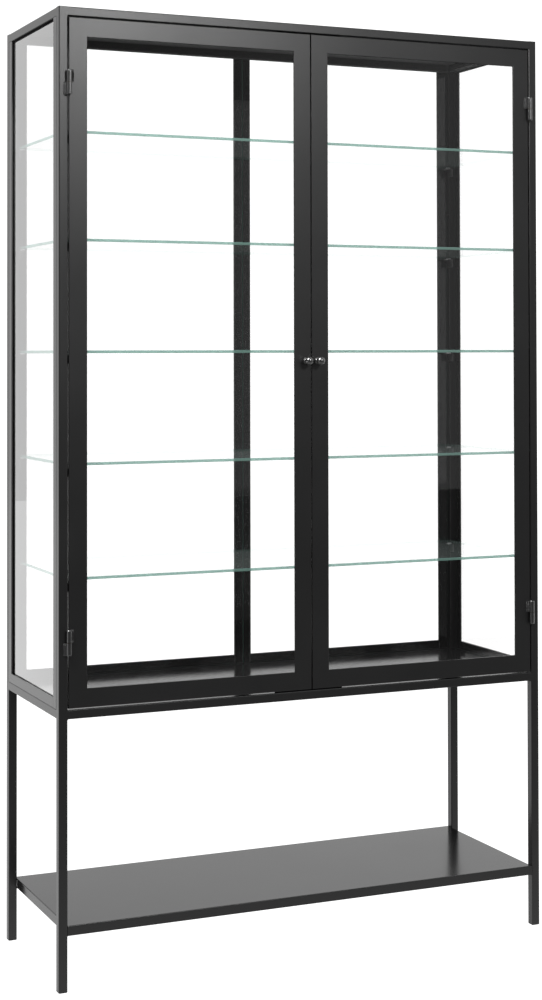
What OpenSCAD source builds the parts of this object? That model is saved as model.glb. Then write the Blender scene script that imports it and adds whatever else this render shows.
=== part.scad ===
// Tower display case: a welded square-tube stand that carries a glazed box with
// two hinged glass doors, five glass shelves and a folded sheet shelf near the floor.
// X runs to the right, Y from front to back, Z up. Millimetres.

/* [Case] */
// Overall height, from the floor to the top of the frame
case_h = 2000; // [1800:10:2200]
// Overall width over the posts
case_w = 1130; // [900:10:1300]
// Overall depth over the posts, without knobs and hinges
case_d = 390; // [340:5:480]
// Height of the underside of the glazed box above the floor
box_z = 550; // [400:10:650]

/* [Frame] */
// Side of the square frame tube
tube = 19; // [18:1:25]
// Wall thickness of the frame tube
tube_wall = 1.5; // [1:0.1:2]
// Outer corner radius of the frame tube
tube_round = 2; // [1:0.1:2.5]
// Thickness of the folded sheet panels
sheet = 1.5; // [1:0.1:2]
// Depth of the folded lip round the top and floor panels
panel_lip = 12; // [8:1:16]

/* [Lower shelf] */
// Height of the top face of the lower shelf
low_shelf_z = 134; // [100:1:300]
// Height of the folded flange round the lower shelf
low_shelf_lip = 20; // [15:1:30]

/* [Glazing] */
// Thickness of the flat bars that the fixed panes bear on
strip_d = 4; // [3:0.5:8]
// Width of the flat bars on the two sides
side_strip_w = 20; // [15:1:25]
// Width of the two upright flat bars at the back
back_strip_w = 25; // [15:1:30]
// Width of the flat bar in the middle of the back
mullion_w = 40; // [30:1:50]
// Thickness of the fixed panes
pane_t = 4; // [3:1:5]

/* [Glass shelves] */
// Thickness of the glass shelves
shelf_t = 6; // [5:1:8]
// Underside of the lowest glass shelf
shelf_first_z = 828; // [750:1:850]
// Distance of the front edge of the shelves from the front of the case
shelf_front = 23; // [22:1:60]

/* [Doors] */
// Face width of the door frame
door_face = 39; // [34:1:45]
// Depth of the door frame
door_d = 15; // [14:1:18]
// Thickness of the front flange of the door frame
flange_t = 3; // [2:0.5:4]
// Gap round each door
door_gap = 2.5; // [2:0.5:4]
// Thickness of the door glass
door_glass_t = 4; // [3:1:5]

/* [Hinges and knobs] */
// Outer radius of a hinge knuckle
knuckle_r = 5.5; // [5:0.5:7]
// Length of one hinge knuckle
knuckle_len = 25.5; // [20:0.5:35]
// Distance of a hinge's middle from the end of the door
hinge_inset = 134; // [90:1:180]
// Diameter of the ball of a knob
knob_dia = 18; // [16:1:24]
// How far a knob stands out from the door
knob_proud = 28; // [24:1:34]
// Distance of a knob from the middle of the case
knob_offset = 13.5; // [12:0.5:18]

/* [Hidden] */

black_steel = "#262627";
black_plastic = "#141414";
clear_glass = "#bfe3d8";
clear_pad = "#e6ebea";
brass = "#b08d45";
zinc = "#8d9194";
magnet_grey = "#6f7275";

// Foot plugs: a lip under the tube and a hollow spigot inside it
plug_lip = 3;
plug_chamfer = 1;
plug_spigot = 16;
plug_fit = 0.2;
plug_wall = 2;
plug_web = 1;

// The frame in height
box_floor_z = box_z + tube;
box_top_z = case_h - tube;
panel_drop = 1;

// Fixed panes: a thin glazing tape lies between each pane and its flat bars
tape_t = 0.5;
pane_clear = 1;
bar_round = 0.5;

// Height of each glass shelf above the lowest one
shelf_steps = [0, 234, 464, 694, 916];
shelf_clear = 2;
pad_t = 1.5;
pad_r = 5;
arris = 0.6;

// Shelf brackets: folded angles on the inner faces of the posts
bracket_t = 2;
bracket_len = 22;
bracket_arm = 12;
bracket_h = 20;
bracket_weld = 4;
bracket_bend = 1.5;
pad_inset = 0.5;

// Doors
door_w = case_w / 2 - tube - 1.5 * door_gap;
door_x = tube + door_gap;
door_z = box_floor_z + door_gap;
door_h = box_top_z - door_gap - door_z;
door_tube_w = 23;
door_wall = 1.5;
door_round = 1;
glass_edge = door_tube_w + 1.5;
bead_w = 10;
bead_t = 5;
bead_gap = 0.5;

// Hinges: knuckles stand in front of the gap between post and door
axis_x = tube + door_gap / 2;
axis_out = knuckle_r + 0.5;
washer_t = 1;
pin_r = 3;
bore_r = pin_r + 0.05;
bore_depth = 22;
knuckle_round = 2;
foot_reach = 11;
foot_blend = 0.5;
hinge_zs = [door_z + hinge_inset, door_z + door_h - hinge_inset];
hinge_half = knuckle_len + washer_t / 2;

// Knobs and their screws
knob_z = door_z + door_h / 2;
knob_base_r = 7;
knob_base_t = 2;
knob_neck_r = 3.8;
knob_fillet = 3;
screw_r = 2;
screw_fit = 0.05;
screw_hole_clear = 0.2;
screw_head_r = 4;
screw_head_t = 2.4;
screw_bore = 14;
screw_reach = 12;

// Stop plates and magnets behind the meeting of the doors
stop_w = 160;
stop_h = 24;
stop_t = 2;
stop_round = 3;
magnet_r = 6;
magnet_t = 2.5;
magnet_air = 0.2;
magnet_offset = 50;
stop_y = door_d + magnet_air + magnet_t;

// ---------------------------------------------------------------- placing

// From case coordinates (front left corner of the feet) to the middle of the box
module in_case() translate([-case_w / 2, -(case_d - knob_proud) / 2, 0]) children();

// The right-hand twin of a left-hand piece
module twin() translate([case_w, 0, 0]) mirror([1, 0, 0]) children();

module along_x() rotate([90, 0, 90]) children();

module along_y(w) translate([w, 0, 0]) rotate([90, 0, 180]) children();

// ---------------------------------------------------------------- sections

// Outline of a w x d rectangle with rounded corners, its low corner at the origin
function rounded_rect(w, d, r, steps = 3) = [
    for (corner = [0:3], step = [0:steps])
        let (a = 90 * corner + 90 * step / steps,
             cx = corner == 0 || corner == 3 ? w - r : r,
             cy = corner < 2 ? d - r : r)
        [cx + r * cos(a), cy + r * sin(a)]
];

// Points on an arc about c from angle a to angle b
function arc(c, r, a, b, steps = 4) =
    [for (s = [0:steps]) let (t = a + (b - a) * s / steps) [c[0] + r * cos(t), c[1] + r * sin(t)]];

module tube_section(w, d, wall = tube_wall, r = tube_round) {
    difference() {
        polygon(rounded_rect(w, d, r));
        translate([wall, wall])
            polygon(rounded_rect(w - 2 * wall, d - 2 * wall, r / 2));
    }
}

// Section of a glass plate with its edges ground to a small arris
module arrised(d, t) polygon([
    [arris, 0], [d - arris, 0], [d, arris], [d, t - arris],
    [d - arris, t], [arris, t], [0, t - arris], [0, arris]
]);

// A glass plate lying flat, its long edges along X
module glass_plate(len, d, t) along_x() linear_extrude(len) arrised(d, t);

// A shallow tray folded down from sheet, top face up, with softly bent edges
module folded_tray(w, d, lip, bend = 2) {
    difference() {
        intersection() {
            along_x() linear_extrude(w) bent_outline(d, lip, bend);
            along_y(w) linear_extrude(d) bent_outline(w, lip, bend);
        }
        translate([sheet, sheet, -1]) cube([w - 2 * sheet, d - 2 * sheet, lip - sheet + 1]);
    }
}

module bent_outline(w, h, r) polygon(concat(
    [[0, 0], [w, 0]],
    arc([w - r, h - r], r, 0, 90),
    arc([r, h - r], r, 90, 180)
));

// ---------------------------------------------------------------- frame

// A post runs from its foot plug to the top, where it is welded shut
module post(x, y) translate([x, y, plug_lip]) {
    linear_extrude(case_h - plug_lip) tube_section(tube, tube);
    translate([0, 0, case_h - plug_lip - tube_wall])
        linear_extrude(tube_wall) polygon(rounded_rect(tube, tube, tube_round));
}

module long_rail(y, z) translate([tube, y, z])
    along_x() linear_extrude(case_w - 2 * tube) tube_section(tube, tube);

module cross_rail(x, z) translate([x, tube, z])
    along_y(tube) linear_extrude(case_d - 2 * tube) tube_section(tube, tube);

module front_left_post() color(black_steel) in_case() post(0, 0);
module front_right_post() color(black_steel) in_case() post(case_w - tube, 0);
module rear_left_post() color(black_steel) in_case() post(0, case_d - tube);
module rear_right_post() color(black_steel) in_case() post(case_w - tube, case_d - tube);

module top_front_rail() color(black_steel) in_case() long_rail(0, box_top_z);
module top_rear_rail() color(black_steel) in_case() long_rail(case_d - tube, box_top_z);
module top_left_rail() color(black_steel) in_case() cross_rail(0, box_top_z);
module top_right_rail() color(black_steel) in_case() cross_rail(case_w - tube, box_top_z);

module base_front_rail() color(black_steel) in_case() long_rail(0, box_z);
module base_rear_rail() color(black_steel) in_case() long_rail(case_d - tube, box_z);
module base_left_rail() color(black_steel) in_case() cross_rail(0, box_z);
module base_right_rail() color(black_steel) in_case() cross_rail(case_w - tube, box_z);

// The top and floor panels are trays welded between the rails
module panel(top_z) translate([tube, tube, top_z - panel_lip])
    folded_tray(case_w - 2 * tube, case_d - 2 * tube, panel_lip);

module top_panel() color(black_steel) in_case() panel(case_h - panel_drop);
module floor_panel() color(black_steel) in_case() panel(box_floor_z);

// The lower shelf fills the space between the legs, flush with them front and back
module lower_shelf() color(black_steel) in_case()
    translate([tube, 0, low_shelf_z - low_shelf_lip])
        folded_tray(case_w - 2 * tube, case_d, low_shelf_lip);

// A plug closes each leg: a hollow square spigot in the tube and a lip under it
module foot_plug() {
    outside = tube - 2 * tube_wall - 2 * plug_fit;
    at = tube_wall + plug_fit;
    foot = tube - 2 * plug_chamfer;
    translate([plug_chamfer, plug_chamfer, 0])
        linear_extrude(plug_chamfer) polygon(rounded_rect(foot, foot, tube_round));
    translate([0, 0, plug_chamfer])
        linear_extrude(plug_lip - plug_chamfer) polygon(rounded_rect(tube, tube, tube_round));
    translate([at, at, plug_chamfer]) difference() {
        linear_extrude(plug_spigot) polygon(rounded_rect(outside, outside, tube_round / 2));
        translate([plug_wall, plug_wall, plug_lip - plug_chamfer + plug_web])
            cube([outside - 2 * plug_wall, outside - 2 * plug_wall, plug_spigot]);
    }
}

module foot_plugs() color(black_plastic) in_case()
    for (x = [0, case_w - tube], y = [0, case_d - tube])
        translate([x, y, 0]) foot_plug();

// ---------------------------------------------------------------- glazing strips

// Flat bar, welded flush with the outside of the frame; the panes bear on its inner face
module flat_bar(w, d) polygon(rounded_rect(w, d, bar_round));

module upright_strip(x, y, w, d) translate([x, y, box_floor_z])
    linear_extrude(box_top_z - box_floor_z) flat_bar(w, d);

module side_sill() translate([0, tube + side_strip_w, box_floor_z])
    along_y(strip_d) linear_extrude(case_d - 2 * (tube + side_strip_w))
        flat_bar(strip_d, side_strip_w);

module back_sill(x0, x1) translate([x0, case_d - strip_d, box_floor_z])
    along_x() linear_extrude(x1 - x0) flat_bar(strip_d, side_strip_w);

module left_front_strip() color(black_steel) in_case()
    upright_strip(0, tube, strip_d, side_strip_w);
module left_rear_strip() color(black_steel) in_case()
    upright_strip(0, case_d - tube - side_strip_w, strip_d, side_strip_w);
module left_sill_strip() color(black_steel) in_case() side_sill();
module right_front_strip() color(black_steel) in_case()
    upright_strip(case_w - strip_d, tube, strip_d, side_strip_w);
module right_rear_strip() color(black_steel) in_case()
    upright_strip(case_w - strip_d, case_d - tube - side_strip_w, strip_d, side_strip_w);
module right_sill_strip() color(black_steel) in_case() twin() side_sill();

module back_left_strip() color(black_steel) in_case()
    upright_strip(tube, case_d - strip_d, back_strip_w, strip_d);
module back_right_strip() color(black_steel) in_case()
    upright_strip(case_w - tube - back_strip_w, case_d - strip_d, back_strip_w, strip_d);
module back_mullion() color(black_steel) in_case()
    upright_strip((case_w - mullion_w) / 2, case_d - strip_d, mullion_w, strip_d);

module back_sill_strips() color(black_steel) in_case() {
    back_sill(tube + back_strip_w, (case_w - mullion_w) / 2);
    twin() back_sill(tube + back_strip_w, (case_w - mullion_w) / 2);
}

// ---------------------------------------------------------------- fixed glass

// An upright pane, w wide along X, its front face at y = 0
module pane(w) linear_extrude(box_top_z - box_floor_z - 2 * pane_clear) arrised(w, pane_t);

// Each pane is taped to the inside of its flat bars, between the posts
module side_pane() translate([strip_d + tape_t + pane_t, tube + pane_clear, box_floor_z + pane_clear])
    rotate([0, 0, 90]) pane(case_d - 2 * (tube + pane_clear));

module left_pane() color(clear_glass, 0.4) in_case() side_pane();
module right_pane() color(clear_glass, 0.4) in_case() twin() side_pane();

module rear_pane()
    translate([tube + pane_clear, case_d - strip_d - tape_t - pane_t, box_floor_z + pane_clear])
        pane(case_w / 2 - tube - 1.5 * pane_clear);

module rear_left_pane() color(clear_glass, 0.4) in_case() rear_pane();
module rear_right_pane() color(clear_glass, 0.4) in_case() twin() rear_pane();

// ---------------------------------------------------------------- shelves

module glass_shelf(level) {
    back_y = case_d - strip_d - tape_t - pane_t - shelf_clear;
    translate([tube + shelf_clear + bracket_t, shelf_front, shelf_first_z + shelf_steps[level]])
        glass_plate(case_w - 2 * (tube + shelf_clear + bracket_t), back_y - shelf_front, shelf_t);
}

module glass_shelf_1() color(clear_glass, 0.6) in_case() glass_shelf(0);
module glass_shelf_2() color(clear_glass, 0.6) in_case() glass_shelf(1);
module glass_shelf_3() color(clear_glass, 0.6) in_case() glass_shelf(2);
module glass_shelf_4() color(clear_glass, 0.6) in_case() glass_shelf(3);
module glass_shelf_5() color(clear_glass, 0.6) in_case() glass_shelf(4);

// Runs its child at each of the four shelf corners, the child being made for the
// front left one, with its origin on the post's inner face at the pad's top
module at_shelf_corners() {
    for (step = shelf_steps, right = [0, 1], rear = [0, 1])
        translate([right * case_w, rear * case_d, shelf_first_z + step])
            mirror([right, 0, 0]) mirror([0, rear, 0])
                translate([tube, tube - bracket_weld, 0]) children();
}

// An angle folded from strip: one leaf is welded to the post, the other carries the pad
module bracket_section() {
    inner = bracket_t + bracket_bend;
    polygon(concat(
        [[0, -bracket_h], [bracket_t, -bracket_h]],
        arc([inner, -inner], bracket_bend, 180, 90),
        [[bracket_t + bracket_arm, -bracket_t], [bracket_t + bracket_arm, 0]],
        arc([inner, -inner], inner, 90, 180)
    ));
}

module bracket() translate([0, 0, -pad_t]) {
    arm_len = bracket_len - bracket_weld - shelf_clear;
    translate([0, bracket_len, 0]) rotate([90, 0, 0]) linear_extrude(arm_len) bracket_section();
    translate([0, 0, -bracket_h])
        cube([bracket_t, bracket_len, bracket_h - bracket_t - bracket_bend]);
}

module shelf_brackets() color(black_steel) in_case() at_shelf_corners() bracket();

module shelf_pads() color(clear_pad) in_case() at_shelf_corners()
    translate([bracket_t + bracket_arm - pad_r - pad_inset,
               (bracket_len + bracket_weld + shelf_clear) / 2, -pad_t])
        cylinder(r = pad_r, h = pad_t, $fn = 32);

// ---------------------------------------------------------------- stops and catches

module stop_plate(z) translate([(case_w - stop_w) / 2, stop_y + stop_t, z])
    rotate([90, 0, 0]) linear_extrude(stop_t) polygon(rounded_rect(stop_w, stop_h, stop_round));

module door_stop_plates() color(black_steel) in_case() {
    stop_plate(box_floor_z);
    stop_plate(box_top_z - stop_h);
}

module catch_magnets() color(magnet_grey) in_case()
    for (side = [-1, 1], z = [box_floor_z + stop_h / 2, box_top_z - stop_h / 2])
        translate([case_w / 2 + side * magnet_offset, stop_y, z])
            rotate([90, 0, 0]) cylinder(r = magnet_r, h = magnet_t, $fn = 48);

// ---------------------------------------------------------------- hinges

module at_left_hinges() for (z = hinge_zs) translate([axis_x, -axis_out, z]) children();

// A knuckle with its open end at z = 0, turned from bar and bored for the pin
module knuckle(depth) rotate_extrude($fn = 48) polygon(concat(
    [[bore_r, 0], [knuckle_r, 0]],
    arc([knuckle_r - knuckle_round, knuckle_len - knuckle_round], knuckle_round, 0, 90),
    [[0, knuckle_len], [0, depth], [bore_r, depth]]
));

// The weld that ties a knuckle to the steel behind it, on its +X side
module weld_foot(inner_x) difference() {
    linear_extrude(knuckle_len) polygon([
        [inner_x, 0], [knuckle_r - foot_blend, 2 * foot_blend],
        [foot_reach, axis_out], [inner_x, axis_out]
    ]);
    translate([0, 0, -1]) cylinder(r = (knuckle_r + bore_r) / 2, h = knuckle_len + 2, $fn = 48);
}

// The upper knuckle goes with the door, the lower one and its pin with the post
module door_half() translate([0, 0, washer_t / 2]) {
    knuckle(bore_depth);
    weld_foot(door_gap / 2);
}

module frame_half() translate([0, 0, -washer_t / 2]) mirror([0, 0, 1]) {
    knuckle(bore_depth);
    mirror([1, 0, 0]) weld_foot(door_gap / 2);
}

module pin() translate([0, 0, -bore_depth - washer_t / 2])
    cylinder(r = pin_r, h = 2 * bore_depth, $fn = 48);

module washer() translate([0, 0, -washer_t / 2]) difference() {
    cylinder(r = knuckle_r, h = washer_t, $fn = 48);
    translate([0, 0, -1]) cylinder(r = bore_r, h = washer_t + 2, $fn = 48);
}

module hinge_frame_knuckles() color(black_steel) in_case() {
    at_left_hinges() frame_half();
    twin() at_left_hinges() frame_half();
}

module hinge_pins() color(zinc) in_case() {
    at_left_hinges() pin();
    twin() at_left_hinges() pin();
}

module hinge_washers() color(brass) in_case() {
    at_left_hinges() washer();
    twin() at_left_hinges() washer();
}

module left_door_knuckles() color(black_steel) in_case() at_left_hinges() door_half();
module right_door_knuckles() color(black_steel) in_case() twin() at_left_hinges() door_half();

// ---------------------------------------------------------------- door frames

// Section of a door member: x from the outer edge inwards, y from the front back.
// A flat front flange laps the glass, a tube behind it gives the stiffness.
module door_section() {
    r = door_round;
    difference() {
        union() {
            polygon(concat(
                arc([r, r], r, 180, 270),
                arc([door_face - r, r], r, 270, 360),
                [[door_face, flange_t], [0, flange_t]]
            ));
            translate([0, r]) square([door_tube_w, door_d - r]);
        }
        translate([door_wall, door_wall])
            square([door_tube_w - 2 * door_wall, door_d - 2 * door_wall]);
    }
}

module mitred(points) intersection() {
    children();
    translate([0, door_d + 1, 0]) rotate([90, 0, 0]) linear_extrude(door_d + 2) polygon(points);
}

// A door's frame in door coordinates, hinge edge at x = 0 and bottom edge at z = 0
module hinge_stile() mitred([[0, 0], [door_face, door_face], [door_face, door_h - door_face], [0, door_h]])
    linear_extrude(door_h) door_section();

module meeting_stile() difference() {
    translate([door_w, 0, 0]) mirror([1, 0, 0]) hinge_stile();
    translate([door_w - knob_offset + door_gap / 2, -1, knob_z - door_z])
        rotate([-90, 0, 0]) cylinder(r = screw_r + screw_hole_clear, h = door_d + 2, $fn = 32);
}

module bottom_rail()
    mitred([[0, 0], [door_w, 0], [door_w - door_face, door_face], [door_face, door_face]])
        translate([door_w, 0, 0]) rotate([0, -90, 0]) linear_extrude(door_w) door_section();

module top_rail() translate([0, 0, door_h]) mirror([0, 0, 1]) bottom_rail();

module in_door() in_case() translate([door_x, 0, door_z]) children();

module in_right_door() in_case() twin() translate([door_x, 0, door_z]) children();

module door_glass() translate([glass_edge, flange_t, glass_edge])
    cube([door_w - 2 * glass_edge, door_glass_t, door_h - 2 * glass_edge]);

// Four square beads press the glass against the flange from behind
module beads() {
    y = flange_t + door_glass_t;
    inner = door_tube_w;
    for (x = [inner, door_w - inner - bead_w])
        translate([x, y, inner]) cube([bead_w, bead_t, door_h - 2 * inner]);
    for (z = [inner, door_h - inner - bead_w])
        translate([inner + bead_w + bead_gap, y, z])
            cube([door_w - 2 * (inner + bead_w + bead_gap), bead_t, bead_w]);
}

// A turned knob: a flat foot, a neck that flares into it, and a ball
module knob() translate([door_w - knob_offset + door_gap / 2, 0, knob_z - door_z])
    rotate([90, 0, 0]) difference() {
        ball_z = knob_proud - knob_dia / 2;
        union() {
            rotate_extrude($fn = 48) polygon(concat(
                [[0, 0], [knob_base_r, 0], [knob_base_r, knob_base_t]],
                arc([knob_neck_r + knob_fillet, knob_base_t + knob_fillet], knob_fillet, 270, 180, 6),
                [[knob_neck_r, ball_z], [0, ball_z]]
            ));
            translate([0, 0, ball_z]) sphere(d = knob_dia, $fn = 64);
        }
        translate([0, 0, -1]) cylinder(r = screw_r + screw_fit, h = screw_bore + 1, $fn = 32);
    }

module knob_screw() translate([door_w - knob_offset + door_gap / 2, door_d, knob_z - door_z])
    rotate([90, 0, 0]) {
        cylinder(r = screw_r, h = door_d + screw_reach, $fn = 32);
        translate([0, 0, -screw_head_t / 2]) cylinder(r = screw_head_r, h = screw_head_t / 2, $fn = 32);
        translate([0, 0, -screw_head_t])
            cylinder(r1 = screw_head_r - 1, r2 = screw_head_r, h = screw_head_t / 2, $fn = 32);
    }

module left_door_hinge_stile() color(black_steel) in_door() hinge_stile();
module left_door_meeting_stile() color(black_steel) in_door() meeting_stile();
module left_door_top_rail() color(black_steel) in_door() top_rail();
module left_door_bottom_rail() color(black_steel) in_door() bottom_rail();
module left_door_glass() color(clear_glass, 0.4) in_door() door_glass();
module left_door_beads() color(black_steel) in_door() beads();
module left_door_knob() color(black_steel) in_door() knob();
module left_door_knob_screw() color(zinc) in_door() knob_screw();

module right_door_hinge_stile() color(black_steel) in_right_door() hinge_stile();
module right_door_meeting_stile() color(black_steel) in_right_door() meeting_stile();
module right_door_top_rail() color(black_steel) in_right_door() top_rail();
module right_door_bottom_rail() color(black_steel) in_right_door() bottom_rail();
module right_door_glass() color(clear_glass, 0.4) in_right_door() door_glass();
module right_door_beads() color(black_steel) in_right_door() beads();
module right_door_knob() color(black_steel) in_right_door() knob();
module right_door_knob_screw() color(zinc) in_right_door() knob_screw();

// ---------------------------------------------------------------- nodes

front_left_post();
front_right_post();
rear_left_post();
rear_right_post();
top_front_rail();
top_rear_rail();
top_left_rail();
top_right_rail();
base_front_rail();
base_rear_rail();
base_left_rail();
base_right_rail();
top_panel();
floor_panel();
lower_shelf();
foot_plugs();
left_front_strip();
left_rear_strip();
left_sill_strip();
right_front_strip();
right_rear_strip();
right_sill_strip();
back_left_strip();
back_right_strip();
back_mullion();
back_sill_strips();
left_pane();
right_pane();
rear_left_pane();
rear_right_pane();
glass_shelf_1();
glass_shelf_2();
glass_shelf_3();
glass_shelf_4();
glass_shelf_5();
shelf_brackets();
shelf_pads();
door_stop_plates();
catch_magnets();
hinge_frame_knuckles();
hinge_pins();
hinge_washers();
left_door_hinge_stile();
left_door_meeting_stile();
left_door_top_rail();
left_door_bottom_rail();
left_door_glass();
left_door_beads();
left_door_knuckles();
left_door_knob();
left_door_knob_screw();
right_door_hinge_stile();
right_door_meeting_stile();
right_door_top_rail();
right_door_bottom_rail();
right_door_glass();
right_door_beads();
right_door_knuckles();
right_door_knob();
right_door_knob_screw();
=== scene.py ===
import math

import bmesh
import bpy
from mathutils import Matrix, Vector


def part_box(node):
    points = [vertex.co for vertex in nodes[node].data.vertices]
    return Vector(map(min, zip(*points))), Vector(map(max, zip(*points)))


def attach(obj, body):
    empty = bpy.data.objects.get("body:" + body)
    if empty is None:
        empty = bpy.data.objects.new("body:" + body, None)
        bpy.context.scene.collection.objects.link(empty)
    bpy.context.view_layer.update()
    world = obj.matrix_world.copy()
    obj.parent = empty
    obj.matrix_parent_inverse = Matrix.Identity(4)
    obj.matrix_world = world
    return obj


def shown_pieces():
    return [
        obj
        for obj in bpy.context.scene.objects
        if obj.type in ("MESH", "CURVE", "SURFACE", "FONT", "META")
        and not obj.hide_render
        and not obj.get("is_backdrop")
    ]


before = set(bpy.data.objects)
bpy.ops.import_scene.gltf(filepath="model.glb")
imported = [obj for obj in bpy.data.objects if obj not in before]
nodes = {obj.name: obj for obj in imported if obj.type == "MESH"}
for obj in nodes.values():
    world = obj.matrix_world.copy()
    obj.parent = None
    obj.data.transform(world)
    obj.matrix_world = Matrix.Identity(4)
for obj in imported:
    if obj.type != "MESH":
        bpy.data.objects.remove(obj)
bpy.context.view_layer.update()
scene = bpy.context.scene

# ------------------------------------------------------------------------------- studio
# The case stands on a long white floor in front of a white backdrop. The room in front of it is
# dim, with a soft lamp high up in front and a broader one high up at the left.

FLOOR_REACH = 12.0
FLOOR_SEEN = (1.28, 1.28, 1.28, 1.0)
FLOOR_LEVELS = ((0.0, 0.09), (0.35, 0.26), (0.6, 0.55), (0.8, 1.0), (0.9, 1.05))
FLOOR_FADE = (-4.0, 1.0)
ROOM_LEVELS = ((0.0, 0.06), (0.15, 0.06), (0.28, 0.6), (0.5, 0.9), (0.7, 1.0))
ROOM_STRENGTH = 0.86
BACKDROP_SEEN = (1.49, 1.49, 1.49, 1.0)
BACK_WAY = (0.5, 0.866, 0.0)
LAMP_PLACE = (0.62, -3.63, 3.05)
LAMP_SIZE = 0.7
LAMP_WATTS = 76.0
SIDE_LAMP_PLACE = (-1.83, -0.83, 3.6)
SIDE_LAMP_SIZE = 1.6
SIDE_LAMP_WATTS = 220.0
LAMPS_AIM = (0.0, 0.0, 1.3)
CAMERA_PLACE = (-1.68544, -3.81015, 1.29233)
CAMERA_YAW = 23.6004
CAMERA_PITCH = 1.0395
CAMERA_ROLL = -0.00187
CAMERA_SENSOR = 36.0
CAMERA_LENS = 66.9605
CAMERA_SHIFT = (0.00214, -0.18099)
GLASS_LAYERS = 32


def plug_in(tree, node, feeds):
    """Sets the inputs of a shader node to values, or feeds them from sockets."""
    for place, feed in feeds.items():
        if isinstance(feed, bpy.types.NodeSocket):
            tree.links.new(feed, node.inputs[place])
        else:
            node.inputs[place].default_value = feed


def wire(tree, kind, feeds=None, **settings):
    """Adds a shader node, makes its settings, and sets or feeds its inputs."""
    node = tree.nodes.new("ShaderNode" + kind)
    for name, value in settings.items():
        setattr(node, name, value)
    plug_in(tree, node, feeds or {})
    return node


def rescale(tree, value, span, to=(0.0, 1.0)):
    """A number carried from one span to another, and held at its ends."""
    feeds = {"Value": value, "From Min": span[0], "From Max": span[1],
             "To Min": to[0], "To Max": to[1]}
    return wire(tree, "MapRange", feeds).outputs["Result"]


def blend(tree, amount, low, high):
    """A colour between two others."""
    return wire(tree, "Mix", {0: amount, 6: low, 7: high}, data_type="RGBA").outputs[2]


def ramp(tree, feed, levels):
    """A grey ramp through (place, level) pairs."""
    node = wire(tree, "ValToRGB", {"Fac": feed})
    stops = node.color_ramp.elements
    stops[0].position, stops[1].position = levels[0][0], levels[-1][0]
    for place, level in levels[1:-1]:
        stops.new(place)
    for stop, (place, level) in zip(stops, levels):
        stop.color = (level, level, level, 1.0)
    return node.outputs["Color"]


bpy.ops.mesh.primitive_plane_add(size=2 * FLOOR_REACH, location=(0.0, 0.0, 0.0))
floor = bpy.context.object
floor.name = "studio_floor"
floor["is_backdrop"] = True
floor_paint = bpy.data.materials.new("studio_floor_paint")
floor_paint.use_nodes = True
tree = floor_paint.node_tree
tree.nodes.clear()
# The floor glows and is not lit: evenly white to the camera, and to every other ray a painted pool
# of light, brightest under and behind the case and fading towards the front.
away = wire(tree, "SeparateXYZ", {0: wire(tree, "TexCoord").outputs["Object"]}).outputs["Y"]
lit_floor = ramp(tree, rescale(tree, away, FLOOR_FADE), FLOOR_LEVELS)
direct = wire(tree, "LightPath").outputs["Is Camera Ray"]
bright = blend(tree, direct, lit_floor, FLOOR_SEEN)
glow = wire(tree, "Emission", {"Color": bright, "Strength": 1.0})
wire(tree, "OutputMaterial", {"Surface": glow.outputs[0]})
floor.data.materials.append(floor_paint)

room = bpy.data.worlds.new("studio_room")
scene.world = room
room.use_nodes = True
tree = room.node_tree
tree.nodes.clear()
direction = wire(tree, "TexCoord").outputs["Generated"]
towards_back = wire(tree, "VectorMath", {0: direction, 1: BACK_WAY}, operation="DOT_PRODUCT")
across = rescale(tree, towards_back.outputs["Value"], (-1.0, 1.0))
walls = ramp(tree, across, ROOM_LEVELS)
direct = wire(tree, "LightPath").outputs["Is Camera Ray"]
seen = blend(tree, direct, walls, BACKDROP_SEEN)
sky = wire(tree, "Background", {"Color": seen, "Strength": ROOM_STRENGTH})
wire(tree, "OutputWorld", {"Surface": sky.outputs[0]})


def hang_lamp(name, place, aim, size, watts):
    """A square soft lamp at a place, turned to an aim."""
    light = bpy.data.lights.new(name, "AREA")
    light.shape = "SQUARE"
    light.size = size
    light.energy = watts
    lamp = bpy.data.objects.new(name, light)
    scene.collection.objects.link(lamp)
    lamp.location = place
    lamp.rotation_euler = (Vector(aim) - lamp.location).to_track_quat("-Z", "Y").to_euler()
    return lamp


soft_lamp = hang_lamp("soft_lamp", LAMP_PLACE, LAMPS_AIM, LAMP_SIZE, LAMP_WATTS)
side_lamp = hang_lamp("side_lamp", SIDE_LAMP_PLACE, LAMPS_AIM, SIDE_LAMP_SIZE, SIDE_LAMP_WATTS)

lens = bpy.data.cameras.new("camera")
lens.sensor_width = CAMERA_SENSOR
lens.lens = CAMERA_LENS
lens.shift_x, lens.shift_y = CAMERA_SHIFT
camera = bpy.data.objects.new("camera", lens)
scene.collection.objects.link(camera)
camera.location = CAMERA_PLACE
level_turn = (Matrix.Rotation(math.radians(-CAMERA_YAW), 4, "Z")
              @ Matrix.Rotation(math.radians(90 + CAMERA_PITCH), 4, "X"))
camera.rotation_euler = (level_turn @ Matrix.Rotation(CAMERA_ROLL, 4, "Z")).to_euler()
scene.camera = camera
scene.view_settings.view_transform = "Standard"
scene.cycles.transparent_max_bounces = GLASS_LAYERS

# ------------------------------------------------------------------------------- welded frame
# Four posts and eight rails of 19 mm square steel tube make the stand and the box in one piece.
# The joints are welded, ground flush outside, and the whole frame is coated in satin black.

POSTS = ("front_left_post", "front_right_post", "rear_left_post", "rear_right_post")
RAILS = (
    "top_front_rail", "top_rear_rail", "top_left_rail", "top_right_rail",
    "base_front_rail", "base_rear_rail", "base_left_rail", "base_right_rail",
)
COAT_DARK = (0.0030, 0.0030, 0.0031, 1.0)
COAT_LIGHT = (0.0050, 0.0050, 0.0051, 1.0)
CLOUDS = (5.0, 4.0)
CLOUD_UNEVEN = 0.10
PEEL = (420.0, 2.0)
PEEL_DEPTH = 0.00008
GRAIN = (2600.0, 1.0)
GRAIN_DEPTH = 0.000012
FLATNESS_SPAN = (0.2, 0.8)
UNDERSIDE_SPAN = (-0.3, -0.8)
UNDERSIDE_DULL = 0.7


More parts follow.
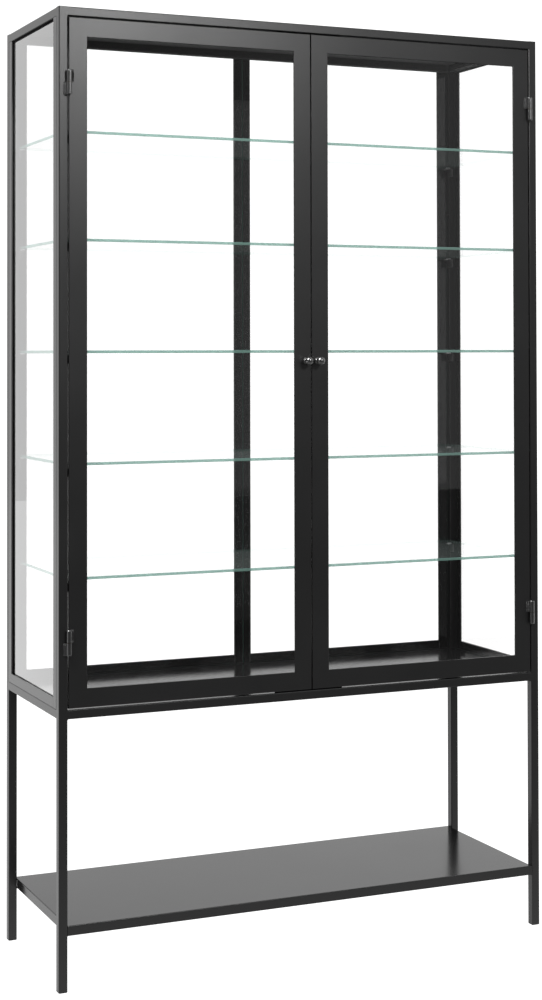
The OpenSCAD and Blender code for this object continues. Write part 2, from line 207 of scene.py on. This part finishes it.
def new_material(name):
    """A new node material, its tree and its principled shader."""
    material = bpy.data.materials.new(name)
    material.use_nodes = True
    return material, material.node_tree, material.node_tree.nodes["Principled BSDF"]


def mottle(tree, place, size, detail):
    """Cloudy noise, size being about its cells to the metre."""
    feeds = {"Vector": place, "Scale": size, "Detail": detail}
    return wire(tree, "TexNoise", feeds).outputs["Fac"]


def reckon(tree, operation, *terms, clamp=False):
    """One step of arithmetic on numbers or sockets."""
    step = wire(tree, "Math", dict(enumerate(terms)), operation=operation, use_clamp=clamp)
    return step.outputs[0]


def relief(tree, shader, heights):
    """Stacks bumps, coarse to fine, each a (height socket, depth in metres) pair."""
    normal = None
    for height, depth in heights:
        feeds = {"Height": height, "Strength": 1.0, "Distance": depth}
        if normal is not None:
            feeds["Normal"] = normal
        normal = wire(tree, "Bump", feeds).outputs["Normal"]
    tree.links.new(normal, shader.inputs["Normal"])


def powder_coat(name, facing=0.36, glancing=0.17, peel=PEEL_DEPTH, grit=GRAIN_DEPTH, shine=0.5):
    """Baked powder: near black, orange-peeled, glossier the flatter it is seen, dull below.

    facing and glancing are its roughness seen square on and nearly flat."""
    coat, tree, skin = new_material(name)
    place = wire(tree, "TexCoord")
    cloud = mottle(tree, place.outputs["Object"], *CLOUDS)
    orange_peel = mottle(tree, place.outputs["Object"], *PEEL)
    grain = mottle(tree, place.outputs["Object"], *GRAIN)
    flatness = wire(tree, "LayerWeight", {"Blend": 0.5}).outputs["Facing"]
    rough = rescale(tree, flatness, FLATNESS_SPAN, (facing, glancing))
    uneven = reckon(tree, "MULTIPLY_ADD", cloud, CLOUD_UNEVEN, -CLOUD_UNEVEN / 2)
    rough = reckon(tree, "ADD", rough, uneven)
    up = wire(tree, "SeparateXYZ", {0: place.outputs["Normal"]}).outputs["Z"]
    below = rescale(tree, up, UNDERSIDE_SPAN, (0.0, UNDERSIDE_DULL))
    rough = reckon(tree, "ADD", rough, below, clamp=True)
    plug_in(tree, skin, {"Base Color": blend(tree, cloud, COAT_DARK, COAT_LIGHT),
                         "Roughness": rough, "Specular IOR Level": shine})
    relief(tree, skin, ((orange_peel, peel), (grain, grit)))
    return coat


def finish_nodes(names, material):
    """Gives CAD nodes their finish."""
    for name in names:
        nodes[name].data.materials.clear()
        nodes[name].data.materials.append(material)


frame_coat = powder_coat("frame_powder_coat")
finish_nodes(POSTS + RAILS, frame_coat)

# ------------------------------------------------------------------------------- frame welds
# Rippled fillets lie in the corners that can't be ground: under the base rails, under the top
# rails and beside the lower shelf. Outside, ground weld metal fills the posts' rounded corners.

WELD_SIDES = 10
FILLET_R = 0.0022
FILLET_SET_BACK = 0.0022
RIPPLE_PITCH = 0.0016
RIPPLE_MEAN = 0.9
RIPPLE_SWELL = 0.12
END_WIDTH = 0.45
END_TAPER = 6.0
TUBE_ROUND = 0.002
GROUND_EASE = 0.0004
FRAME_CREASE = 32.0


def add_piece(name, bm, material, body, crease=FRAME_CREASE):
    """Turns a finished bmesh into a piece that rides on a body."""
    mesh = bpy.data.meshes.new(name)
    bm.normal_update()
    bm.to_mesh(mesh)
    bm.free()
    mesh.materials.append(material)
    mesh.shade_smooth()
    mesh.set_sharp_from_angle(angle=math.radians(crease))
    piece = bpy.data.objects.new(name, mesh)
    scene.collection.objects.link(piece)
    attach(piece, body)


def join_part(bm, part, place):
    """Puts a small shape in place and adds it to a piece."""
    part.transform(place)
    shape = bpy.data.meshes.new("part")
    part.to_mesh(shape)
    part.free()
    bm.from_mesh(shape)
    bpy.data.meshes.remove(shape)


def lay_weld(bm, start, end, radius=FILLET_R, pitch=RIPPLE_PITCH):
    """A ripple bead from start to end: a rod cut into rings that swell and shrink in turn."""
    start, end = Vector(start), Vector(end)
    length = (end - start).length
    rings = max(3, round(length / pitch))
    rod = bmesh.new()
    bmesh.ops.create_cone(rod, cap_ends=True, segments=WELD_SIDES, radius1=radius,
                          radius2=radius, depth=length)
    long_edges = [e for e in rod.edges if abs(e.verts[0].co.z - e.verts[1].co.z) > length / 2]
    bmesh.ops.subdivide_edges(rod, edges=long_edges, cuts=2 * rings - 1)
    for vert in rod.verts:
        along = vert.co.z / length + 0.5
        ripple = RIPPLE_MEAN + RIPPLE_SWELL * math.cos(2 * math.pi * rings * along)
        taper = min(1.0, END_WIDTH + END_TAPER * min(along, 1.0 - along))
        vert.co.x *= ripple * taper
        vert.co.y *= ripple * taper
    turn = (end - start).to_track_quat("Z", "Y").to_matrix().to_4x4()
    join_part(bm, rod, Matrix.Translation((start + end) / 2) @ turn)


def fill_groove(bm, corner, centre, low_z, high_z):
    """Ground-flush weld metal over the rounded corner of a post, where a rail meets it."""
    inward = [math.copysign(TUBE_ROUND, c - k) for c, k in zip(centre, corner)]
    size = Vector((TUBE_ROUND, TUBE_ROUND, high_z - low_z - 2 * GROUND_EASE))
    middle = (corner[0] + inward[0] / 2, corner[1] + inward[1] / 2, (low_z + high_z) / 2)
    fill = bmesh.new()
    bmesh.ops.create_cube(fill, size=1.0, matrix=Matrix.Diagonal((*size, 1.0)))
    join_part(bm, fill, Matrix.Translation(middle))


welds = bmesh.new()
base_low, base_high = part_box("base_front_rail")
under_top_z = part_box("top_front_rail")[0].z
shelf_low, shelf_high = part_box("lower_shelf")
for low, high in [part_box(name) for name in POSTS]:
    inner_x, outer_x = (high.x, low.x) if low.x < 0 else (low.x, high.x)
    inner_y, outer_y = (high.y, low.y) if low.y < 0 else (low.y, high.y)
    along_x = (low.x + FILLET_SET_BACK, high.x - FILLET_SET_BACK)
    along_y = (low.y + FILLET_SET_BACK, high.y - FILLET_SET_BACK)
    for z in (base_low.z, under_top_z):
        lay_weld(welds, (inner_x, along_y[0], z), (inner_x, along_y[1], z))
        lay_weld(welds, (along_x[0], inner_y, z), (along_x[1], inner_y, z))
    lay_weld(welds, (inner_x, along_y[0], shelf_low.z), (inner_x, along_y[1], shelf_low.z))
    lay_weld(welds, (inner_x, inner_y, shelf_low.z + FILLET_SET_BACK),
             (inner_x, inner_y, shelf_high.z - FILLET_SET_BACK))
    centre = ((low.x + high.x) / 2, (low.y + high.y) / 2)
    for z0, z1 in ((base_low.z, base_high.z), (under_top_z, high.z)):
        fill_groove(welds, (inner_x, outer_y), centre, z0, z1)
        fill_groove(welds, (outer_x, inner_y), centre, z0, z1)
add_piece("frame_fillet_welds", welds, frame_coat, "case")

# ------------------------------------------------------------------------------- sheet panels
# The top and the floor of the box are trays folded from 1.5 mm sheet and welded between the
# rails. The lower shelf is a deeper tray between the legs. All three carry a smoother coat.

SHEETS = ("top_panel", "floor_panel", "lower_shelf")
sheet_coat = powder_coat("sheet_powder_coat", glancing=0.16, peel=0.000016, grit=0.000003)
finish_nodes(SHEETS, sheet_coat)

# ------------------------------------------------------------------------------- foot plugs
# Moulded black polyethylene plugs pressed into the leg ends, each with a lip that the leg
# stands on. They are duller than the coat, with a fine moulded grain.

PLUG_TONES = ((0.008, 0.008, 0.008, 1.0), (0.018, 0.018, 0.017, 1.0))
PLUG_SCUFFS = (60.0, 5.0)
PLUG_SPECKLE = (900.0, 2.0)
PLUG_DEPTH = 0.00004
PLUG_ROUGH = 0.55


def moulded(name, tones, clouds, bumps, depth, looks):
    """Plastic or rubber in two tones, clouds and bumps being (cells to the metre, detail)."""
    stuff, tree, skin = new_material(name)
    place = wire(tree, "TexCoord").outputs["Object"]
    shade = blend(tree, mottle(tree, place, *clouds), *tones)
    plug_in(tree, skin, {"Base Color": shade, **looks})
    relief(tree, skin, ((mottle(tree, place, *bumps), depth),))
    return stuff


plug_plastic = moulded("plug_plastic", PLUG_TONES, PLUG_SCUFFS, PLUG_SPECKLE, PLUG_DEPTH,
                       {"Roughness": PLUG_ROUGH})
finish_nodes(("foot_plugs",), plug_plastic)

# ------------------------------------------------------------------------------- flat bars
# Flat bars 4 mm thick are welded flush with the outside of the frame, three round each side and
# a set with a wider middle one at the back. The fixed panes are taped to their inner faces.

FLAT_BARS = (
    "left_front_strip", "left_rear_strip", "left_sill_strip",
    "right_front_strip", "right_rear_strip", "right_sill_strip",
    "back_left_strip", "back_right_strip", "back_mullion", "back_sill_strips",
)
bar_coat = powder_coat("bar_powder_coat", facing=0.42, glancing=0.2, shine=1.0)
finish_nodes(FLAT_BARS, bar_coat)

# ------------------------------------------------------------------------------- fixed panes
# Four panes of 4 mm float glass with arrised edges fill the sides and the back. Clear to look
# through, they mirror more the flatter they are seen, and their cut edges are green.

CLEAR = (1.0, 1.0, 1.0, 1.0)
HAZE_TINT = (0.72, 0.85, 0.81, 1.0)
EDGE_GREEN = (0.13, 0.24, 0.205, 1.0)
EDGE_TINTS = ((0.97, 1.0, 0.99, 1.0), (0.6, 0.85, 0.78, 1.0))
EDGE_ROUGH = 0.25
EDGE_GRINDING = (700.0, 2.0)
EDGE_DEPTH = 0.00003
EDGE_BODY = 0.6
EDGE_BEHIND = 0.1
SQUARE_ON = 0.9
PANE_MIRROR = 0.06
PANE_GLANCING = 1.0
SIDE_GLANCING = 1.85
PANE_CURVE = 4.0


def float_glass(name, thin_axis, mirror, glancing, curve, haze=0.0):
    """Glass whose two large faces, square to the thin axis, are clear and cut edges green.

    It mirrors as much as mirror seen square on, and glancing more seen flat."""
    glass, tree, edge = new_material(name)
    flatness = wire(tree, "LayerWeight", {"Blend": 0.5}).outputs["Facing"]
    amount = reckon(tree, "MULTIPLY_ADD", reckon(tree, "POWER", flatness, curve), glancing, mirror)
    behind = wire(tree, "NewGeometry").outputs["Backfacing"]
    outside = reckon(tree, "SUBTRACT", 1.0, behind)
    mirrored = reckon(tree, "MULTIPLY", amount, outside)
    clear = wire(tree, "BsdfTransparent", {"Color": CLEAR})
    mirror_face = wire(tree, "BsdfGlossy", {"Color": CLEAR, "Roughness": 0.0})
    face = wire(tree, "MixShader", {0: mirrored, 1: clear.outputs[0], 2: mirror_face.outputs[0]})
    film = wire(tree, "BsdfDiffuse", {"Color": HAZE_TINT})
    face = wire(tree, "MixShader", {0: haze, 1: face.outputs[0], 2: film.outputs[0]})
    place = wire(tree, "TexCoord")
    way = wire(tree, "SeparateXYZ", {0: place.outputs["Normal"]}).outputs[thin_axis]
    on_face = reckon(tree, "GREATER_THAN", reckon(tree, "ABSOLUTE", way), SQUARE_ON)
    plug_in(tree, edge, {"Base Color": EDGE_GREEN, "Roughness": EDGE_ROUGH})
    relief(tree, edge, ((mottle(tree, place.outputs["Object"], *EDGE_GRINDING), EDGE_DEPTH),))
    green = wire(tree, "BsdfTransparent", {"Color": blend(tree, outside, *EDGE_TINTS)})
    body = reckon(tree, "MULTIPLY_ADD", outside, EDGE_BODY, EDGE_BEHIND)
    cut_edge = wire(tree, "MixShader", {0: body, 1: green.outputs[0], 2: edge.outputs[0]})
    both = wire(tree, "MixShader", {0: on_face, 1: cut_edge.outputs[0], 2: face.outputs[0]})
    tree.links.new(both.outputs[0], tree.nodes["Material Output"].inputs["Surface"])
    return glass


side_glass = float_glass("side_pane_glass", "X", PANE_MIRROR, SIDE_GLANCING, PANE_CURVE)
rear_glass = float_glass("rear_pane_glass", "Y", PANE_MIRROR, PANE_GLANCING, PANE_CURVE)
finish_nodes(("left_pane", "right_pane"), side_glass)
finish_nodes(("rear_left_pane", "rear_right_pane"), rear_glass)

# ------------------------------------------------------------------------------- pane sealing
# Black foam tape lies between bars and glass. A tooled bead of black silicone runs round the
# outside of each pane, up to the bars' edges. The bead is real sealant, but so dark and dull that
# it is partly painted shade for the shaded reveal round the glass. The flat band under the side
# top
# rails is painted shade: a black sheet where the rail only shades the pane. Here the bead is only
# an open wall along the bars' edges, without the tooled cove.

TAPE_IN = 0.002
TAPE_EASE = 0.0001
# Height and thickness of the band of painted shade under the side top rails.
SHADE_BAND_H = 0.005
SHADE_BAND_T = 0.0008
SEAL_LIFT = 0.00004
SEAL_STEPS = ((0.0008, -0.0014), (0.0012, -0.0012), (0.0020, -0.0009))
SEAL_CREASE = 50.0
# Near black and nearly without shine: the silicone's own black, and partly painted shade for the
# reveal round the panes.
SEAL_AND_SHADE_TONES = ((0.0006, 0.0006, 0.0006, 1.0), (0.002, 0.002, 0.002, 1.0))
SEAL_TOOLING = (160.0, 3.0)
SEAL_DEPTH = 0.0003
SEAL_ROUGH = 0.6
SEAL_SHINE = 0.02
X, Y, Z = Vector((1, 0, 0)), Vector((0, 1, 0)), Vector((0, 0, 1))

# One near-black stuff for the beads, the tape and the band: real black silicone and foam, and
# painted shade.
seal_and_shade_rubber = moulded("black_silicone_and_shade", SEAL_AND_SHADE_TONES, SEAL_TOOLING, SEAL_TOOLING, SEAL_DEPTH,
                      {"Roughness": SEAL_ROUGH, "Specular IOR Level": SEAL_SHINE})


def run_seal(bm, corner, across, up, out, width, height):
    """The wall of a bead round an opening: corner on the glass, out pointing away from it.

    The insets only move the face, because use_boundary is off, so no cove is made."""
    bead = bmesh.new()
    top = -sum(depth for thickness, depth in SEAL_STEPS)
    sides = ((0, 0), (width, 0), (width, height), (0, height))
    panel = bead.faces.new([bead.verts.new((x, y, top)) for x, y in sides])
    outer = list(panel.edges)
    for thickness, depth in SEAL_STEPS:
        bmesh.ops.inset_region(bead, faces=[panel], thickness=thickness, depth=depth,
                               use_even_offset=True)
    inner = list(panel.edges)
    bmesh.ops.delete(bead, geom=[panel], context="FACES_ONLY")
    skirt = bmesh.ops.extrude_edge_only(bead, edges=outer)["geom"]
    low_verts = [g for g in skirt if isinstance(g, bmesh.types.BMVert)]
    low_edges = [g for g in skirt if isinstance(g, bmesh.types.BMEdge)
                 and all(v in low_verts for v in g.verts)]
    bmesh.ops.translate(bead, verts=low_verts, vec=(0.0, 0.0, -top))
    bmesh.ops.bridge_loops(bead, edges=low_edges + inner)
    bmesh.ops.recalc_face_normals(bead, faces=bead.faces)
    turn = Matrix((across, up, out)).transposed().to_4x4()
    join_part(bm, bead, Matrix.Translation(Vector(corner) + SEAL_LIFT * out) @ turn)


def add_strip(bm, low, high):
    """A straight strip between two corners, with its edges eased."""
    low, high = Vector(low), Vector(high)
    strip = bmesh.new()
    bmesh.ops.create_cube(strip, size=1.0, matrix=Matrix.Diagonal((*(high - low), 1.0)))
    bmesh.ops.bevel(strip, geom=strip.edges, offset=TAPE_EASE, offset_type="OFFSET",
                    segments=2, profile=0.5, affect="EDGES", material=-1)
    join_part(bm, strip, Matrix.Translation((low + high) / 2))


beads_and_shade_band = bmesh.new()
tapes = bmesh.new()
for side, out in (("left", -X), ("right", X)):
    front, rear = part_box(side + "_front_strip"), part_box(side + "_rear_strip")
    sill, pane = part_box(side + "_sill_strip"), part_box(side + "_pane")
    rail_z, sill_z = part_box("top_" + side + "_rail")[0].z, sill[1].z
    if side == "left":
        glass_x, bar_x, across, y = pane[0].x, front[1].x, -Y, rear[0].y
    else:
        glass_x, bar_x, across, y = pane[1].x, front[0].x, Y, front[1].y
    width = rear[0].y - front[1].y
    run_seal(beads_and_shade_band, (glass_x, y, sill_z), across, Z, out, width, rail_z - sill_z)
    # Painted shade: a thin black sheet on the glass under the top rail, where the rail casts
    # shade.
    shade_band = sorted((glass_x, glass_x + SHADE_BAND_T * out.x))
    add_strip(beads_and_shade_band, (shade_band[0], front[1].y, rail_z - SHADE_BAND_H), (shade_band[1], rear[0].y, rail_z))
    xs = sorted((bar_x, glass_x))
    for low_y, high_y, high_z in ((pane[0].y, front[1].y - TAPE_IN, pane[1].z),
                                  (rear[0].y + TAPE_IN, pane[1].y, pane[1].z),
                                  (front[1].y, rear[0].y, sill_z - TAPE_IN)):
        add_strip(tapes, (xs[0], low_y, pane[0].z), (xs[1], high_y, high_z))
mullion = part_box("back_mullion")
rail_z, sill_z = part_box("top_rear_rail")[0].z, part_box("back_sill_strips")[1].z
for side in ("left", "right"):
    strip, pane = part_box("back_" + side + "_strip"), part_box("rear_" + side + "_pane")
    low_x = strip[1].x if side == "left" else mullion[1].x
    high_x = mullion[0].x if side == "left" else strip[0].x
    glass_y = pane[1].y
    run_seal(beads_and_shade_band, (high_x, glass_y, sill_z), -X, Z, Y, high_x - low_x, rail_z - sill_z)
    for x0, x1, high_z in ((pane[0].x, low_x - TAPE_IN, pane[1].z),
                           (high_x + TAPE_IN, pane[1].x, pane[1].z),
                           (low_x, high_x, sill_z - TAPE_IN)):
        add_strip(tapes, (x0, glass_y, pane[0].z), (x1, mullion[0].y, high_z))
add_piece("pane_silicone_beads_and_shade_band", beads_and_shade_band, seal_and_shade_rubber, "case", SEAL_CREASE)
add_piece("pane_glazing_tape", tapes, seal_and_shade_rubber, "case")

# ------------------------------------------------------------------------------- glass shelves
# Five shelves of 6 mm float glass with ground edges lie on four clear pads each, on small
# folded angles welded to the posts. The edges show a pale sea green.

SHELF_COUNT = 5
SHELF_MIRROR = 0.02
SHELF_GLANCING = 0.07
SHELF_CURVE = 3.0
SHELF_HAZE = 0.02
PAD_TONES = ((0.62, 0.65, 0.65, 1.0), (0.78, 0.8, 0.8, 1.0))
PAD_HAZE = (500.0, 2.0)
PAD_DEPTH = 0.00005
PAD_ROUGH = 0.3
PAD_CLEARNESS = 0.6

shelf_glass = float_glass("shelf_glass", "Z", SHELF_MIRROR, SHELF_GLANCING, SHELF_CURVE,
                          SHELF_HAZE)
finish_nodes(["glass_shelf_%d" % (n + 1) for n in range(SHELF_COUNT)], shelf_glass)
finish_nodes(("shelf_brackets",), bar_coat)
pad_rubber = moulded("clear_pad_rubber", PAD_TONES, PAD_HAZE, PAD_HAZE, PAD_DEPTH,
                     {"Roughness": PAD_ROUGH, "Transmission Weight": PAD_CLEARNESS})
finish_nodes(("shelf_pads",), pad_rubber)

# ------------------------------------------------------------------------------- stops and catches
# Two steel plates behind the meeting of the doors stop them, each with two nickel-plated disc
# magnets that hold the doors shut.

METAL_UNEVEN = 0.15
METAL_DEPTH = 0.00001
METAL_LINES = (1.0, 3.0)
NICKEL_TONES = ((0.36, 0.35, 0.33, 1.0), (0.5, 0.49, 0.46, 1.0))
NICKEL_CELLS = (900.0, 900.0, 900.0)
NICKEL_ROUGH = 0.25


def bare_metal(name, tones, rough, cells):
    """Plated or turned metal, cells to the metre in x, y and z breaking up tone and shine."""
    metal, tree, skin = new_material(name)
    place = wire(tree, "TexCoord").outputs["Object"]
    stretched = wire(tree, "Mapping", {"Vector": place, "Scale": cells}).outputs[0]
    lines = mottle(tree, stretched, *METAL_LINES)
    plug_in(tree, skin, {"Base Color": blend(tree, lines, *tones), "Metallic": 1.0,
                         "Roughness": reckon(tree, "MULTIPLY_ADD", lines, METAL_UNEVEN, rough)})
    relief(tree, skin, ((lines, METAL_DEPTH),))
    return metal


finish_nodes(("door_stop_plates",), frame_coat)
nickel = bare_metal("nickel_plate", NICKEL_TONES, NICKEL_ROUGH, NICKEL_CELLS)
finish_nodes(("catch_magnets",), nickel)

# ------------------------------------------------------------------------------- door frames
# Each door is four lengths of a flanged steel tube, mitred, welded and ground. The flange laps
# the glass at the front. The doors are coated apart, in the same satin black.

DOORS = ("left_door", "right_door")
DOOR_LENGTHS = ("_hinge_stile", "_meeting_stile", "_top_rail", "_bottom_rail")
door_coat = powder_coat("door_powder_coat")
for door in DOORS:
    finish_nodes([door + length for length in DOOR_LENGTHS], door_coat)

# ------------------------------------------------------------------------------- door glazing
# Float glass lies in each door's rebate, pressed to the flange by four square beads. Button
# head screws go through the beads into the door's tube.

SCREW_HEAD = ((0.0, 0.0005), (0.0008, 0.0005), (0.0009, 0.0013), (0.0014, 0.0013),
              (0.0020, 0.0009), (0.0024, 0.0003), (0.0024, -0.0004), (0.0, -0.0004))
SCREW_SIDES = 20
SCREW_MERGE = 0.000005
SCREW_SPACING = 0.27
SCREWS_ACROSS = 2
BEAD_W = 0.010
ZINC_TONES = ((0.42, 0.43, 0.44, 1.0), (0.6, 0.6, 0.6, 1.0))
ZINC_CELLS = (700.0, 700.0, 700.0)
ZINC_ROUGH = 0.24

door_glass = float_glass("door_glass", "Y", PANE_MIRROR, PANE_GLANCING, PANE_CURVE)
zinc = bare_metal("zinc_plate", ZINC_TONES, ZINC_ROUGH, ZINC_CELLS)


def drive_screw(bm, spot, axis="Z", turn=0.0):
    """A button head, spun with its socket up, then turned about an axis and put on its spot."""
    head = bmesh.new()
    verts = [head.verts.new((radius, 0.0, height)) for radius, height in SCREW_HEAD]
    edges = [head.edges.new(pair) for pair in zip(verts, verts[1:])]
    bmesh.ops.spin(head, geom=verts + edges, cent=(0, 0, 0), axis=(0, 0, 1), dvec=(0, 0, 0),
                   angle=2 * math.pi, steps=SCREW_SIDES, use_merge=True)
    bmesh.ops.remove_doubles(head, verts=head.verts, dist=SCREW_MERGE)
    bmesh.ops.recalc_face_normals(head, faces=head.faces)
    join_part(bm, head, Matrix.Translation(spot) @ Matrix.Rotation(turn, 4, axis))


for door in DOORS:
    finish_nodes((door + "_glass",), door_glass)
    finish_nodes((door + "_beads",), door_coat)
    screws = bmesh.new()
    low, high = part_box(door + "_beads")
    y = (low.y + high.y) / 2
    count = round((high.z - low.z) / SCREW_SPACING)
    for n in range(count):
        z = low.z + (n + 0.5) * (high.z - low.z) / count
        drive_screw(screws, (low.x + BEAD_W, y, z), "Y", math.pi / 2)
        drive_screw(screws, (high.x - BEAD_W, y, z), "Y", -math.pi / 2)
    for n in range(SCREWS_ACROSS):
        x = low.x + (n + 0.5) * (high.x - low.x) / SCREWS_ACROSS
        drive_screw(screws, (x, y, low.z + BEAD_W))
        drive_screw(screws, (x, y, high.z - BEAD_W), "X", math.pi)
    add_piece(door + "_bead_screws", screws, zinc, door)

# ------------------------------------------------------------------------------- knobs
# A turned steel knob on each meeting stile: a flared foot, a short neck and a ball, coated
# glossier than the door, with a clear layer. A zinc-plated screw holds it from behind.

KNOB_LAYER_ROUGH = 0.3


def clear_layer(coat, rough):
    """Adds a clear varnish over a coat."""
    tree = coat.node_tree
    plug_in(tree, tree.nodes["Principled BSDF"], {"Coat Weight": 1.0, "Coat Roughness": rough})


knob_coat = powder_coat("knob_powder_coat", facing=0.26, glancing=0.16, peel=0.00002, shine=1.0)
clear_layer(knob_coat, KNOB_LAYER_ROUGH)
for door in DOORS:
    finish_nodes((door + "_knob",), knob_coat)
    finish_nodes((door + "_knob_screw",), zinc)

# ------------------------------------------------------------------------------- hinges
# Each door hangs on two lift-off hinges: a barrel welded to the stile turns on the pin of a
# barrel welded to the post, with a dull brass washer between. The welds are left as laid.

BRASS_TONES = ((0.03, 0.025, 0.018, 1.0), (0.07, 0.058, 0.04, 1.0))
BRASS_CELLS = (300.0, 300.0, 4000.0)
BRASS_ROUGH = 0.3
HINGE_LAYER_ROUGH = 0.24
BARREL_R = 0.0055
BARREL_LEN = 0.0255
WASHER_T = 0.001
PASSES = ((0.0102, 0.0002, 0.0016), (0.0072, -0.0022, 0.0019))
PASS_PITCH = 0.0021
PASS_SET_BACK = 0.002
front_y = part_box("front_left_post")[0].y

hinge_coat = powder_coat("hinge_powder_coat", facing=0.28, glancing=0.16, peel=0.00003,
                         shine=1.0)
clear_layer(hinge_coat, HINGE_LAYER_ROUGH)
weld_coat = powder_coat("weld_powder_coat", facing=0.42, glancing=0.3, peel=0.00016, shine=0.35)
brass = bare_metal("dulled_brass", BRASS_TONES, BRASS_ROUGH, BRASS_CELLS)
finish_nodes(("hinge_frame_knuckles", "left_door_knuckles", "right_door_knuckles"), hinge_coat)
finish_nodes(("hinge_pins",), zinc)
finish_nodes(("hinge_washers",), brass)


def weld_hinge(bm, axis_x, low_z, away):
    """Two passes between a barrel and the steel beside it, away being the side it is on."""
    ends = (low_z + PASS_SET_BACK, low_z + BARREL_LEN - PASS_SET_BACK)
    for x, y, radius in PASSES:
        start, end = [(axis_x + away * x, front_y + y, z) for z in ends]
        lay_weld(bm, start, end, radius, PASS_PITCH)


frame_welds = bmesh.new()
for door, sign in zip(DOORS, (-1.0, 1.0)):
    low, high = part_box(door + "_knuckles")
    axis_x = low.x + BARREL_R if sign < 0 else high.x - BARREL_R
    door_welds = bmesh.new()
    for base in (low.z, high.z - BARREL_LEN):
        weld_hinge(door_welds, axis_x, base, -sign)
        weld_hinge(frame_welds, axis_x, base - WASHER_T - BARREL_LEN, sign)
    add_piece(door + "_hinge_welds", door_welds, weld_coat, door)
add_piece("frame_hinge_welds", frame_welds, weld_coat, "case")

# ------------------------------------------------------------------------------- light
# Both lamps light the steel and the fittings and aren't mirrored in the glass.

lit = bpy.data.collections.new("lit_by_lamps")
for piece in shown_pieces():
    if not any(slot.material.name.endswith("_glass") for slot in piece.material_slots):
        lit.objects.link(piece)
for lamp in (soft_lamp, side_lamp):
    lamp.light_linking.receiver_collection = lit
